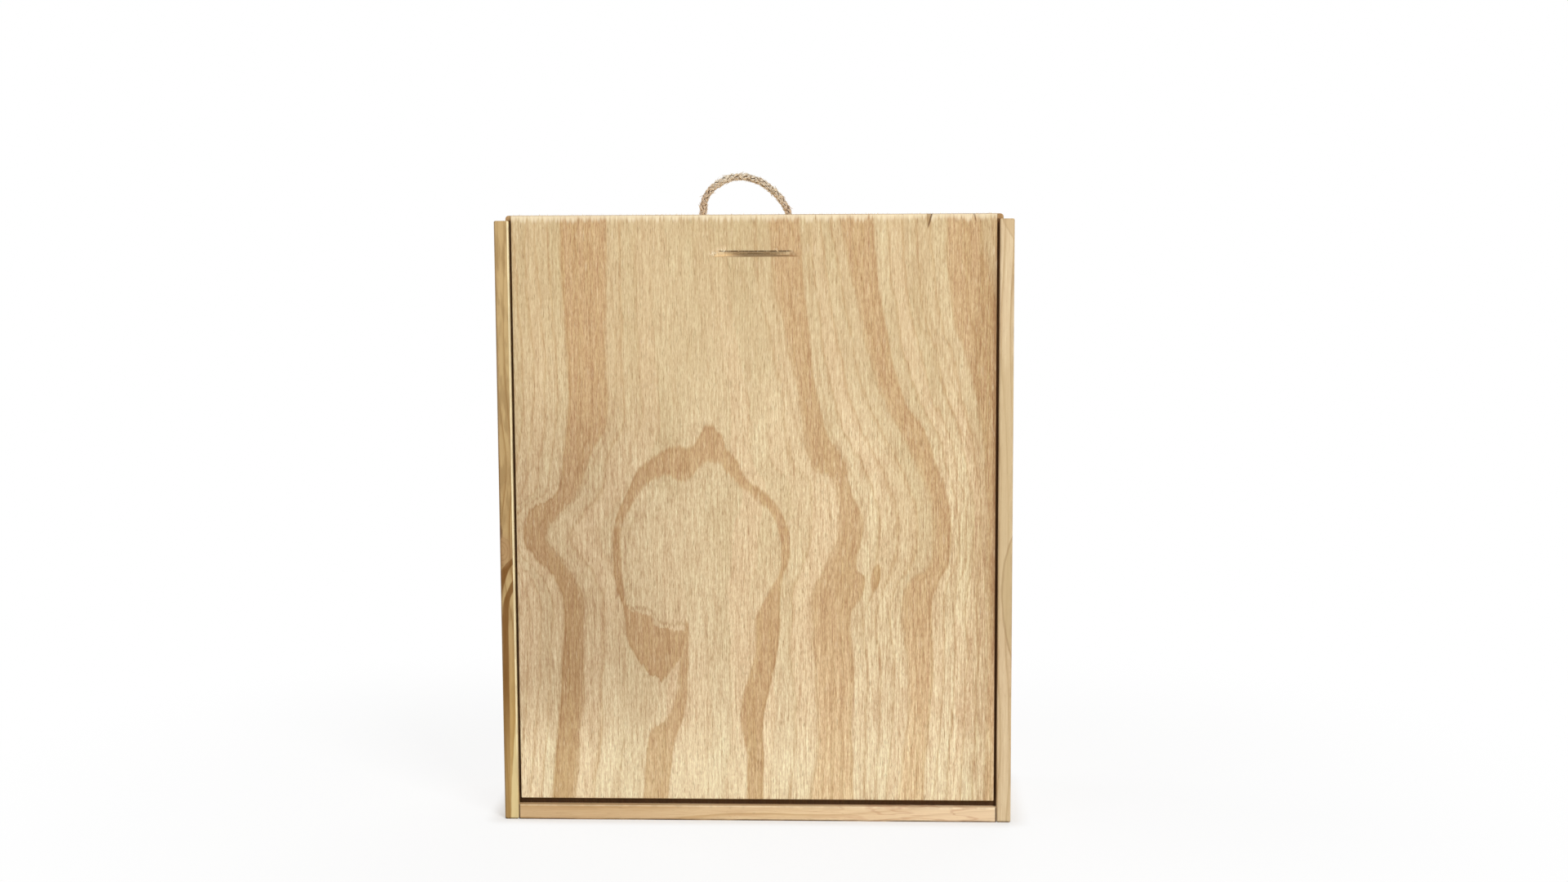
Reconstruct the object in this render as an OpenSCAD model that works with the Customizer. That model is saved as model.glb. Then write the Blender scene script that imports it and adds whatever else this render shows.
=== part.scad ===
// Upright wooden wine box for three bottles. Two side boards carry a plywood lid that
// slides up and out of their grooves, and a rope loop knotted under the top board lifts
// the box. Origin: middle of the footprint, on the floor. Front is -Y, up is +Z.

/* [Frame] */
// Outer width of the box
box_w = 305; // [240:1:400]
// Height of the side boards
box_h = 360; // [260:1:460]
// Depth of the frame boards, without the back panel
frame_d = 100; // [85:1:140]
// Thickness of the two side boards
side_t = 8.5; // [7:0.5:14]
// Thickness of the bottom board
bottom_t = 9; // [7:0.5:14]
// Thickness of the top board
top_t = 9; // [7:0.5:14]
// Rounding of the long edges of the boards
edge_r = 1.1; // [0.4:0.1:1.6]
// Rounding of the bottom board's front edge
bottom_edge_r = 1.5; // [0.5:0.1:1.8]

/* [Back panel] */
// Thickness of the back panel
back_t = 4; // [3:0.5:8]

/* [Lid] */
// Thickness of the raised face, in front of the tongue
lid_face_t = 5; // [4:0.25:7]
// Thickness of the tongue that runs in the grooves
tongue_t = 4; // [3:0.25:6]
// How far the tongue stands out past each side of the face
tongue_w = 4; // [3:0.25:5.5]
// Gap between the face and each side board
lid_side_gap = 1.7; // [1:0.1:2.5]
// Gap between the face and the bottom board
lid_bottom_gap = 4; // [2:0.25:6]
// How far the lid stands up past the side boards
lid_overhang = 3; // [0:0.5:10]
// Rounding of the face's edges
lid_edge_r = 0.8; // [0.3:0.1:1.5]
// Rounding of the tongue's upper corners
tongue_corner_r = 2; // [0.5:0.25:3]

/* [Groove] */
// Depth of the grooves in the side boards
groove_d = 3; // [2:0.25:4]
// Depth of the groove in the bottom board
bottom_groove_d = 4; // [2.5:0.25:5]
// Clearance on each side of the tongue and under it
groove_play = 0.3; // [0.2:0.05:0.6]

/* [Finger notch] */
// Length of the notch where it meets the face
notch_l = 44; // [25:1:70]
// Width of the cutter that plunged it
notch_w = 3.4; // [2.5:0.1:6]
// Radius of the cutter
cutter_r = 70; // [50:1:110]
// Tilt of the cutter, so that the notch hooks upwards
notch_tilt = 20; // [0:1:30]
// From the lid's upper edge to the notch
notch_drop = 21; // [12:1:60]
// Middle of the notch, sideways from the middle of the lid
notch_x = 1.5; // [-40:0.5:40]

/* [Dividers] */
// Thickness of each divider
divider_t = 4; // [3:0.5:6]
// Depth of the housings that hold the dividers
housing_d = 2; // [1:0.25:3]
// Gap between the dividers and the lid
divider_lid_gap = 1; // [0.5:0.25:10]

/* [Rope] */
// Diameter of the rope
rope_d = 5; // [4:0.25:5.5]
// Diameter of the holes that it goes through
rope_hole_d = 6; // [6:0.25:9]
// Distance between the two holes
rope_span = 52; // [46:1:60]
// Middle of the two holes, sideways from the middle of the box
rope_x = -7; // [-20:1:20]
// Radius of the knot's loops for each millimetre of rope
knot_reach = 1.28; // [1.26:0.01:1.4]
// Half the distance between crossing strands for each millimetre of rope
knot_spread = 0.62; // [0.61:0.01:0.7]
// Free end left hanging below each knot
knot_tail = 9; // [3:0.5:20]

/* [Nails] */
// Diameter of the corner nails' shanks
nail_d = 1.4; // [1:0.1:2]
// Diameter of the corner nails' heads
nail_head_d = 3; // [2.2:0.1:4]
// Thickness of the heads
nail_head_t = 0.8; // [0.4:0.1:1.2]
// Length of the corner nails
nail_l = 30; // [20:1:45]
// Number of nails in each corner joint
nails_per_joint = 3; // [2:1:5]
// Length of the back panel's pins
pin_l = 16; // [10:1:25]
// Diameter of the pins' shanks
pin_d = 1.2; // [0.8:0.1:1.6]
// Diameter of the pins' heads
pin_head_d = 2.6; // [2:0.1:3.2]
// Number of pins up each side of the back panel
pins_up = 5; // [3:1:9]
// Number of pins along its top and bottom, between the corners
pins_across = 3; // [1:1:7]

/* [Hidden] */
$fn = 48;
eps = 0.01;

// The frame's faces
front_y = -(frame_d + back_t) / 2;
back_y = front_y + frame_d;
inside_w = box_w - 2 * side_t;
inside_h = box_h - bottom_t - top_t;

// The lid, and the grooves cut to fit its tongue
tongue_y = front_y + lid_face_t;
lid_back_y = tongue_y + tongue_t;
lid_top = box_h + lid_overhang;
face_w = inside_w - 2 * lid_side_gap;
face_bottom = bottom_t + lid_bottom_gap;
lid_w = face_w + 2 * tongue_w;
lid_bottom = bottom_t - bottom_groove_d + groove_play;
groove_y = tongue_y - groove_play;
groove_w = tongue_t + 2 * groove_play;

// Two dividers make three equal bays; each stands half a bay from the middle of the box
divider_front = lid_back_y + divider_lid_gap;
bay_w = (inside_w - 2 * divider_t) / 3;
divider_x = bay_w / 2 + divider_t / 2;

// The rope bends at its holes on a line this far above the top board
rope_clear = 0.3;
hinge_z = box_h + rope_d / 2 + rope_clear;
rope_left = rope_x - rope_span / 2;
rope_right = rope_x + rope_span / 2;

// Route of the loop from its left foot to its right foot: across from the left hole,
// and up from the line on which it bends
loop_route = [[0, 0], [0, 4.5], [0.8, 9], [2.2, 12.3], [4.2, 15], [6.5, 17.2], [9.5, 19.4],
              [13.5, 21.5], [18, 22.9], [22.6, 23.3], [27.5, 22.9], [32, 21.6], [36.2, 19.5],
              [40, 17], [43.5, 13.9], [46.6, 10.4], [49, 6.9], [51, 3.6], [52, 0]];

// A rectangle with round corners, from its lower left corner
module eased_square(size, r) {
  translate([r, 0]) square([size.x - 2 * r, size.y]);
  translate([0, r]) square([size.x, size.y - 2 * r]);
  for (x = [r, size.x - r], y = [r, size.y - r]) translate([x, y]) circle(r);
}

// Points of a ring of the rope, square to its direction and turned by a fixed side vector
function unit(v) = v / norm(v);
function ring(p, dir, side, r, sides) =
  let (a = unit(cross(dir, side)), b = cross(dir, a))
  [for (i = [0 : sides - 1]) p + r * (cos(360 * i / sides) * a + sin(360 * i / sides) * b)];
function direction(path, i) =
  unit(path[min(i + 1, len(path) - 1)] - path[max(i - 1, 0)]);

// A tube of given radii along a path. Its sides are kept from twisting by one side
// vector for each ring.
module tube(path, radii, side_vectors, sides) {
  n = len(path);
  points = [for (i = [0 : n - 1])
            each ring(path[i], direction(path, i), side_vectors[i], radii[i], sides)];
  walls = [for (i = [0 : n - 2], j = [0 : sides - 1])
           let (k = (j + 1) % sides, a = i * sides, b = a + sides)
           each [[a + j, a + k, b + k], [a + j, b + k, b + j]]];
  start = [for (j = [1 : sides - 2]) [0, j + 1, j]];
  last = (n - 1) * sides;
  end = [for (j = [1 : sides - 2]) [last, last + j, last + j + 1]];
  polyhedron(points = points, faces = concat(start, walls, end), convexity = 8);
}

// A side board, lying on the left. Its front inner part is grooved for the lid's tongue
// from top to bottom.
module side_board() {
  difference() {
    intersection() {
      linear_extrude(box_h) translate([-box_w / 2, front_y]) eased_square([side_t, frame_d], edge_r);
      translate([0, back_y, 0]) rotate([90, 0, 0]) linear_extrude(frame_d)
        translate([-box_w / 2, 0]) eased_square([side_t, box_h], edge_r);
    }
    translate([-inside_w / 2 - groove_d, groove_y, -eps])
      cube([groove_d + 1, groove_w, box_h + 2 * eps]);
    corner_nail_row() nail(nail_d, nail_head_d, nail_head_t, nail_l);
    pin_column(-1) nail(pin_d, pin_head_d, nail_head_t, pin_l);
  }
}

module left_side() {
  color("#d9b27c") side_board();
}

module right_side() {
  color("#e3c08e") mirror([1, 0, 0]) side_board();
}

// The bottom board lies between the sides. A groove along its front takes the lid's foot.
module bottom_board() {
  color("#dfbd8b") difference() {
    intersection() {
      translate([-inside_w / 2, front_y, 0]) rotate([90, 0, 90])
        linear_extrude(inside_w) front_eased(frame_d, bottom_t, bottom_edge_r);
      linear_extrude(bottom_t)
        translate([-inside_w / 2, front_y]) front_eased_plan(inside_w, frame_d, edge_r);
    }
    translate([-inside_w / 2 - 1, groove_y, bottom_t - bottom_groove_d])
      cube([inside_w + 2, groove_w, bottom_groove_d + 1]);
    divider_housings(bottom_t - housing_d, housing_d + 1);
    corner_nails_both_sides();
    pin_row(bottom_t / 2) nail(pin_d, pin_head_d, nail_head_t, pin_l);
  }
}

// A board's section: its upper front edge is round
module front_eased(depth, height, r) {
  translate([r, 0]) square([depth - r, height]);
  square([depth, height - r]);
  translate([r, height - r]) circle(r);
}

// A board's plan: the two ends of its front edge are round
module front_eased_plan(width, depth, r) {
  translate([0, r]) square([width, depth - r]);
  translate([r, 0]) square([width - 2 * r, depth]);
  for (x = [r, width - r]) translate([x, r]) circle(r);
}

// The top board lies between the sides, behind the lid, and has the rope's two holes
module top_board() {
  front = lid_back_y + 2 * groove_play;
  color("#dcb985") difference() {
    translate([-inside_w / 2, front, box_h - top_t]) cube([inside_w, back_y - front, top_t]);
    for (x = [rope_left, rope_right])
      translate([x, 0, box_h - top_t - 1]) cylinder(d = rope_hole_d, h = top_t + 2);
    divider_housings(box_h - top_t - 1, housing_d + 1);
    corner_nails_both_sides();
    pin_row(box_h - top_t / 2) nail(pin_d, pin_head_d, nail_head_t, pin_l);
  }
}

// Slots across the top and bottom boards that hold the dividers' ends
module divider_housings(z, h) {
  for (x = [-divider_x, divider_x])
    translate([x - divider_t / 2, divider_front, z])
      cube([divider_t, back_y - divider_front + 1, h]);
}

module divider(x) {
  color("#d6b887") translate([x - divider_t / 2, divider_front, bottom_t - housing_d])
    cube([divider_t, back_y - divider_front, inside_h + 2 * housing_d]);
}

module left_divider() {
  divider(-divider_x);
}

module right_divider() {
  divider(divider_x);
}

module back_panel() {
  color("#cfae79") difference() {
    translate([-box_w / 2, back_y, 0]) cube([box_w, back_t, box_h]);
    back_pins_all();
  }
}

// The lid: a raised face with round edges on a tongue that is wider and longer
module sliding_lid() {
  color("#e0c08f") difference() {
    union() {
      translate([0, tongue_y + tongue_t, 0]) rotate([90, 0, 0])
        linear_extrude(tongue_t) tongue_outline();
      intersection() {
        translate([-face_w / 2, tongue_y, face_bottom]) rotate([90, 0, 0])
          linear_extrude(lid_face_t) eased_square([face_w, lid_top - face_bottom], lid_edge_r);
        linear_extrude(lid_top) translate([-face_w / 2, front_y])
          front_eased_plan(face_w, lid_face_t, lid_edge_r);
        translate([-face_w / 2, front_y, 0]) rotate([90, 0, 90]) linear_extrude(face_w)
          translate([0, face_bottom]) lid_face_section();
      }
    }
    finger_notch();
  }
}

// The face seen from the side: both ends of its front are round
module lid_face_section() {
  height = lid_top - face_bottom;
  translate([lid_edge_r, 0]) square([lid_face_t - lid_edge_r, height]);
  translate([0, lid_edge_r]) square([lid_face_t, height - 2 * lid_edge_r]);
  for (z = [lid_edge_r, height - lid_edge_r]) translate([lid_edge_r, z]) circle(lid_edge_r);
}

// The tongue seen from the front: its upper corners are round
module tongue_outline() {
  r = tongue_corner_r;
  translate([-lid_w / 2, lid_bottom]) square([lid_w, lid_top - lid_bottom - r]);
  translate([-lid_w / 2 + r, lid_bottom]) square([lid_w - 2 * r, lid_top - lid_bottom]);
  for (x = [-1, 1]) translate([x * (lid_w / 2 - r), lid_top - r]) circle(r);
}

// What a tilted disc cutter takes away when it is plunged into the face
module finger_notch() {
  sunk = cutter_r - sqrt(cutter_r * cutter_r - notch_l * notch_l / 4);
  translate([notch_x, front_y, lid_top - notch_drop]) rotate([notch_tilt, 0, 0])
    translate([0, sunk - cutter_r, -notch_w]) cylinder(r = cutter_r, h = notch_w, $fn = 180);
}

// A nail along +X whose head lies flush at x = 0
module nail(d, head_d, head_t, length) {
  rotate([0, 90, 0]) rotate_extrude()
    polygon([[0, 0], [head_d / 2, 0], [d / 2, head_t], [d / 2, length - 2 * d], [0, length]]);
}

// Nails through the left side into the ends of the bottom and top boards
module corner_nail_row() {
  first = divider_front + 8;
  step = (back_y - 12 - first) / (nails_per_joint - 1);
  for (z = [bottom_t / 2, box_h - top_t / 2], i = [0 : nails_per_joint - 1])
    translate([-box_w / 2, first + i * step, z]) children();
}

module corner_nails_both_sides() {
  for (side = [0, 1]) mirror([side, 0, 0])
    corner_nail_row() nail(nail_d, nail_head_d, nail_head_t, nail_l);
}

module corner_nails_left() {
  color("#9a9a96") corner_nail_row() nail(nail_d, nail_head_d, nail_head_t, nail_l);
}

module corner_nails_right() {
  color("#9a9a96") mirror([1, 0, 0])
    corner_nail_row() nail(nail_d, nail_head_d, nail_head_t, nail_l);
}

// Pins through the back panel into the edge of one side board, side = -1 left, 1 right
module pin_column(side) {
  first = bottom_t + 20;
  step = (box_h - top_t - 20 - first) / (pins_up - 1);
  for (i = [0 : pins_up - 1])
    translate([side * (box_w - side_t) / 2, back_y + back_t, first + i * step])
      rotate([0, 0, -90]) children();
}

// Pins through the back panel into the edge of the bottom or top board
module pin_row(z) {
  step = inside_w / (pins_across + 1);
  for (i = [1 : pins_across])
    translate([-inside_w / 2 + i * step, back_y + back_t, z]) rotate([0, 0, -90]) children();
}

module back_pins_all() {
  for (side = [-1, 1]) pin_column(side) nail(pin_d, pin_head_d, nail_head_t, pin_l);
  for (z = [bottom_t / 2, box_h - top_t / 2])
    pin_row(z) nail(pin_d, pin_head_d, nail_head_t, pin_l);
}

module back_panel_pins() {
  color("#9a9a96") back_pins_all();
}

// The loop of rope above the top board. Its feet are round, so that it tilts about them.
module rope_loop() {
  r = rope_d / 2;
  foot = [for (a = [15 : 25 : 65]) a];
  last = len(loop_route) - 1;
  stretch = rope_span / loop_route[last].x;
  route = [for (p = loop_route) [rope_left + p.x * stretch, 0, hinge_z + p.y]];
  path = concat([for (a = foot) route[0] - [0, 0, r * cos(a)]], route,
                [for (i = [len(foot) - 1 : -1 : 0]) route[last] - [0, 0, r * cos(foot[i])]]);
  radii = concat([for (a = foot) r * sin(a)], [for (p = route) r],
                 [for (i = [len(foot) - 1 : -1 : 0]) r * sin(foot[i])]);
  color("#e6d9bd") tube(path, radii, [for (p = path) [0, 1, 0]], 12);
}

// Route of one end of the rope, from the top board's upper face down through the hole,
// through an overhand knot under the board, to the free end. The knot is a trefoil with
// one of its lobes opened.
knot_r = rope_d * knot_reach;
knot_lift = rope_d * knot_spread;
knot_bend = 4;
knot_open = 30;
knot_entry = [knot_r * cos(2 * knot_open), knot_lift, knot_r * sin(2 * knot_open)];
knot_lobe = (knot_r + knot_lift) * sin(120) + 1.2;
knot_z = box_h - top_t - rope_clear - knot_lobe - rope_d / 2;
function trefoil(a) =
  let (reach = knot_r + knot_lift * cos(3 * a))
  [reach * cos(2 * a), knot_lift * sin(3 * a), reach * sin(2 * a)];
function knot_route() =
  let (far = knot_entry.x + knot_bend + 1, bend = [far - knot_bend, knot_lift, knot_entry.z + knot_bend])
  concat([[far, knot_lift, box_h - knot_z], [far, knot_lift, box_h - top_t / 2 - knot_z],
          [far, knot_lift, box_h - top_t - knot_z]],
         [for (a = [0 : 30 : 60]) bend + knot_bend * [cos(a), 0, -sin(a)]],
         [for (a = [knot_open : 10 : 360 - knot_open]) trefoil(a)],
         [for (a = [60 : -30 : 0]) [bend.x, -knot_lift, -bend.z] + knot_bend * [cos(a), 0, sin(a)]],
         [[far, -knot_lift, -bend.z - knot_tail / 2], [far, -knot_lift, -bend.z - knot_tail]]);

// One end of the rope. Its strand enters at the given hole; flip = 1 turns the knot over.
module rope_end(hole_x, flip) {
  route = knot_route();
  start = route[0];
  path = [for (p = route)
          [hole_x + flip * (p.x - start.x), flip * (p.y - start.y), p.z + knot_z]];
  sides = [for (i = [0 : len(path) - 1]) side_of(path, i)];
  color("#e6d9bd") tube(path, [for (p = path) rope_d / 2], sides, 8);
}

// A vector that turns slowly along the knot and is never along it
function side_of(path, i) = i == 0 ? [0, 1, 0]
  : let (d = direction(path, i), s = side_of(path, i - 1)) unit(s - (s * d) * d);

module rope_end_left() {
  rope_end(rope_left, -1);
}

module rope_end_right() {
  rope_end(rope_right, 1);
}

left_side();
right_side();
top_board();
bottom_board();
back_panel();
left_divider();
right_divider();
sliding_lid();
rope_loop();
rope_end_left();
rope_end_right();
corner_nails_left();
corner_nails_right();
back_panel_pins();
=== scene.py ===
"""Upright wooden wine box with a plywood lid that slides up and a braided rope loop on top.

The boards, the lid, the back, the dividers and the nails are the frame's own pieces with
wood and steel finishes. The rope and its two knots are braided here from eight strands,
and the lid gets the torn fibres of its sawn edge and of its finger notch.
Sizes are in millimetres, which MM turns to metres. Lamps and the camera are placed in metres.
"""

import math
import random
from functools import partialmethod

import bmesh
import bpy
from mathutils import Matrix, Vector
from mathutils.kdtree import KDTree


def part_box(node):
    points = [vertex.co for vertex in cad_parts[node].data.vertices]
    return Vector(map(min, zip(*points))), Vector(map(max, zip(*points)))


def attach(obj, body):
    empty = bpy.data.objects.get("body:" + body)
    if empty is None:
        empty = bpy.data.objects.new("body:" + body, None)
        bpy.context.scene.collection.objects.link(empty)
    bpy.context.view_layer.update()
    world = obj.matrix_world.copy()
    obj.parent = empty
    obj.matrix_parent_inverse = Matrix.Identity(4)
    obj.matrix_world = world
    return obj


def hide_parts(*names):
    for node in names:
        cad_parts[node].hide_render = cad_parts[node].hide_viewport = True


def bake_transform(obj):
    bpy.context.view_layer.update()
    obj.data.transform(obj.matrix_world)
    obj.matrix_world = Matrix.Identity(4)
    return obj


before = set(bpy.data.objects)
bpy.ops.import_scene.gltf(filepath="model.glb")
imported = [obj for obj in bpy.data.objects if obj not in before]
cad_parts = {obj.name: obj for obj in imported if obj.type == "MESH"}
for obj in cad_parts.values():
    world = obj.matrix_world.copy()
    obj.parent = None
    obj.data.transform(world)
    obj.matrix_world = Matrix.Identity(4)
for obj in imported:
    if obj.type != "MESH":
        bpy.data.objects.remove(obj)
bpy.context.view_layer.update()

MM = 0.001

# ---------------- the box's own places, in millimetres
FRONT = -52
BACK = 52
HEIGHT = 360
HALF_WIDTH = 152.5
INNER_WALL = 144
LID_TOP = 363
LID_FACE_HALF = 142.3
LID_SHOULDER = 5
NOTCH_HEIGHT = 340
ROPE_LEFT = -33
ROPE_RIGHT = 19
ROPE_DIAMETER = 5
HINGE_HEIGHT = 362.8
TOP_BOARD_UNDER = 351
LEFT_DIVIDER = -50.667
RIGHT_DIVIDER = 46.667
# Each sheet of plywood: how many plies, and how thick one is.
LID_PLIES, LID_PLY = 5, 1.8
SHEET_PLIES, SHEET_PLY = 3, 4 / 3


def placed(name, data):
    """A new object in the scene."""
    piece = bpy.data.objects.new(name, data)
    bpy.context.scene.collection.objects.link(piece)
    return piece


def placed_mesh(name, mesh):
    """A new object from a bmesh, which is freed."""
    data = bpy.data.meshes.new(name)
    mesh.to_mesh(data)
    mesh.free()
    return placed(name, data)


# ---------------- finishes
def tone(colour):
    """A colour in 0 to 255, as it is seen, turned to light. A wire stays as it is."""
    if isinstance(colour, Wire):
        return colour
    shares = [level / 255 for level in colour]
    return (*(s / 12.92 if s <= 0.04045 else ((s + 0.055) / 1.055) ** 2.4 for s in shares), 1)


class Wire:
    """A value or colour on its way through a finish. Sums of values add Math nodes."""

    def __init__(self, finish, socket):
        self.finish = finish
        self.socket = socket

    def also(self, output):
        """Another output of the same node."""
        return Wire(self.finish, self.socket.node.outputs[output])

    def reckon(self, operation, *others):
        """A Math node on this value, and on others where it takes more than one."""
        return self.finish.add("ShaderNodeMath", {"operation": operation}, (self, *others))

    def __rsub__(self, other):
        return self.finish.add("ShaderNodeMath", {"operation": "SUBTRACT"}, (other, self))

    __add__ = __radd__ = partialmethod(reckon, "ADD")
    __sub__ = partialmethod(reckon, "SUBTRACT")
    __mul__ = __rmul__ = partialmethod(reckon, "MULTIPLY")
    __truediv__ = partialmethod(reckon, "DIVIDE")
    __pow__ = partialmethod(reckon, "POWER")
    __abs__ = partialmethod(reckon, "ABSOLUTE")

    def ease(self, low, high):
        """0 below low, 1 above high, and smooth between them."""
        return self.finish.add("ShaderNodeMapRange", {"interpolation_type": "SMOOTHSTEP"},
                               (self, low, high, 0, 1))

    def bent(self, bends):
        """A value from 0 to 1, sent through a curve."""
        return self.finish.add("ShaderNodeFloatCurve", {"bends": bends}, (1, self))

    def noise(self, size, seed, detail=2, roughness=0.5):
        """On a place: cloudy values about 0.5, in patches of that size, or of three sizes."""
        sizes = size if isinstance(size, tuple) else (size, size, size)
        shift = (seed * 7.31, seed * 3.17, seed * 5.73)
        place = self.finish.add("ShaderNodeVectorMath", {"operation": "MULTIPLY_ADD"},
                                (self, tuple(1 / length for length in sizes), shift))
        return self.finish.add("ShaderNodeTexNoise", inputs={"Vector": place, "Scale": 1, "Detail": detail,
                                                             "Roughness": roughness})


class Finish:
    """A material, or the world, whose look comes from nodes."""

    def __init__(self, name, world=None):
        self.material = world or bpy.data.materials.new(name)
        self.material.use_nodes = True
        self.tree = self.material.node_tree
        self.shader = self.tree.nodes["Background" if world else "Principled BSDF"]

    def add(self, kind, settings=None, inputs=(), output=0):
        """One node. Its settings are set first, then each socket gets a wire or a value."""
        node = self.tree.nodes.new(kind)
        for name, value in (settings or {}).items():
            if name == "bends":
                self.lay_bends(node.mapping, value)
            else:
                setattr(node, name, value)
        for key, value in inputs.items() if isinstance(inputs, dict) else enumerate(inputs):
            self.feed(node.inputs[key], value)
        return Wire(self, node.outputs[output])

    def feed(self, socket, value):
        if isinstance(value, Wire):
            self.tree.links.new(value.socket, socket)
        else:
            socket.default_value = value

    @staticmethod
    def lay_bends(mapping, bends):
        points = mapping.curves[0].points
        while len(points) < len(bends):
            points.new(0.5, 0.5)
        for point, place in zip(points, bends):
            point.location = place
            point.handle_type = "AUTO_CLAMPED"
        mapping.update()

    def millimetres(self):
        """The place on the piece in millimetres."""
        place = self.add("ShaderNodeTexCoord", output="Object")
        return self.add("ShaderNodeVectorMath", {"operation": "SCALE"}, {"Vector": place, "Scale": 1000})

    def parts(self, vector):
        first = self.add("ShaderNodeSeparateXYZ", inputs=(vector,))
        return first, first.also(1), first.also(2)

    def whole(self, x, y, z):
        return self.add("ShaderNodeCombineXYZ", inputs=(x, y, z))

    def facing(self):
        """How squarely the surface faces each axis, from 0 to 1."""
        normal = self.add("ShaderNodeTexCoord", output="Normal")
        return self.parts(self.add("ShaderNodeVectorMath", {"operation": "ABSOLUTE"}, (normal,)))

    def blend(self, one, other, share, how="MIX"):
        settings = {"data_type": "RGBA", "blend_type": how}
        return self.add("ShaderNodeMix", settings, {0: share, 6: tone(one), 7: tone(other)}, output=2)

    def washed(self, colour, *washes):
        """A colour with others laid over it in turn. Each wash is a colour and its share."""
        for wash, share in washes:
            colour = self.blend(colour, wash, share)
        return colour

    def shaded(self, colour, factor):
        """A colour made lighter or darker. As wood does, it gets browner where it darkens."""
        shade = self.whole(factor ** 0.86, factor ** 1.34, factor ** 1.6)
        colour = tone(colour) if isinstance(colour, Wire) else tone(colour)[:3]
        return self.add("ShaderNodeVectorMath", {"operation": "MULTIPLY"}, (colour, shade))

    def close(self, colour, roughness, relief, depth_mm, strength=1, specular=0.3):
        """Ends the finish. The relief runs from 0 to 1 and is that deep."""
        self.feed(self.shader.inputs["Base Color"], colour)
        self.feed(self.shader.inputs["Roughness"], roughness)
        self.shader.inputs["Specular IOR Level"].default_value = specular
        bump = self.add("ShaderNodeBump", inputs={"Strength": strength, "Distance": depth_mm * MM,
                                                  "Height": relief})
        self.feed(self.shader.inputs["Normal"], bump)
        return self.material


def most(first, *others):
    for other in others:
        first = first.reckon("MAXIMUM", other)
    return first


def reach(one, other):
    """How far off a point lies that is this far along two directions."""
    return (one * one + other * other).reckon("SQRT")


def within(value, low, high):
    """A value held between two others."""
    return value.reckon("MAXIMUM", low).reckon("MINIMUM", high)


# ---------------- solid pine
RING_PROFILE = [(0, 0.35), (0.06, 0.08), (0.35, 0.05), (0.62, 0.22), (0.82, 0.62), (0.93, 1), (1, 0.35)]


def near_edges(finish, point, low, high, far):
    """1 on the edges of a board that fills the box from low to high, 0 where they are far."""
    gaps = []
    for part, first, last in zip(finish.parts(point), low, high):
        middle, half = (first + last) / 2, (last - first) / 2
        gaps.append(half - abs(part - middle))
    x, y, z = gaps
    smaller, larger = x.reckon("MINIMUM", y), x.reckon("MAXIMUM", y)
    return smaller.reckon("MAXIMUM", larger.reckon("MINIMUM", z)).ease(far, 0)


def pine(node, along, pith, ring_mm, early, late, seed, extras=None, knot=None):
    """Planed pine. The growth rings go round a pith line that lies along the grain, and bend
    round a knot, which is given by its place through the board and along it."""
    finish = Finish(node + "_pine")
    point = finish.millimetres()
    x, y, z = finish.parts(point)
    across, deep, length = (x, y, z) if along == "z" else (z, y, x)
    grain = finish.whole(across, deep, length)
    sway = grain.noise((70, 70, 240), seed, 1) - 0.5
    sway_deep = grain.noise((60, 60, 200), seed + 1.7, 1) - 0.5
    ripple = grain.noise((9, 9, 60), seed + 3.1, 2) - 0.5
    right = across - pith[0] + sway * 30
    back = deep - pith[1] + sway_deep * 30
    radius = reach(right, back)
    if knot:
        from_knot = reach(deep - knot[0], (length - knot[1]) * 0.42)
        radius = radius + from_knot.ease(27, 4) * 8
    rings = radius / ring_mm + ripple * 0.5
    ring = rings.reckon("FRACT").bent(RING_PROFILE)
    pulse = finish.whole(rings.reckon("FLOOR"), 0, 0).noise(1, seed, 0)
    faces = finish.facing()
    end_grain = faces[0 if along == "x" else 2].ease(0.5, 0.85)

    fibre = grain.noise((0.8, 0.8, 26), seed + 5, 3, 0.6)
    hairline = grain.noise((0.35, 0.35, 9), seed + 6, 2, 0.6)
    pores = grain.noise((0.35, 0.35, 3.5), seed + 8, 1)
    canals = pores.ease(0.69, 0.76) * (1 - end_grain)
    cloud = grain.noise((22, 22, 90), seed + 9, 2)
    speckle = point.noise(0.3, seed + 10, 2)

    strength = 0.45 + pulse * 0.7
    colour = finish.blend(early, late, ring * strength)
    uneven = (fibre - 0.5) * 0.45 + (hairline - 0.5) * 0.3 + (cloud - 0.5) * 0.3
    colour = finish.shaded(colour, 1 + uneven)
    dark = finish.blend(colour, (120, 82, 42), 0.55 + ring * 0.3, "MULTIPLY")
    colour = finish.blend(colour, dark, canals * 0.5)
    sawn = finish.shaded(finish.blend(colour, late, 0.45), 0.62 + speckle * 0.5)
    colour = finish.blend(colour, sawn, end_grain * 0.85)
    if extras:
        colour = extras(finish, colour, point, (x, y, z), fibre)

    low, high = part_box(node)
    handled = near_edges(finish, point, [c / MM for c in low], [c / MM for c in high], 2.2)
    handled = handled * point.noise((6, 6, 14), seed + 12, 3).ease(0.42, 0.62)
    # Painted shadow: a thin dark line along the foot of each board, where it meets the floor.
    painted_contact_shadow = z.ease(1.1, 0.5) * fibre.ease(0.25, 0.5)
    colour = finish.washed(colour, ((150, 118, 78), handled * 0.28), ((66, 44, 24), painted_contact_shadow * 0.8))
    roughness = 0.62 + fibre * 0.12 + end_grain * 0.15 - ring * 0.08 - handled * 0.1
    relief = fibre * 0.45 + hairline * 0.25 + ring * 0.2 - canals * 0.5 + (speckle - 0.5) * end_grain * 0.8
    return finish.close(colour, roughness, relief, 0.12, 0.55)


# Traced lines are drawn on a field of this size, which stands in the middle of the box's front.
TRACED_HEIGHT = 370
TRACED_WIDTH = 320


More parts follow.
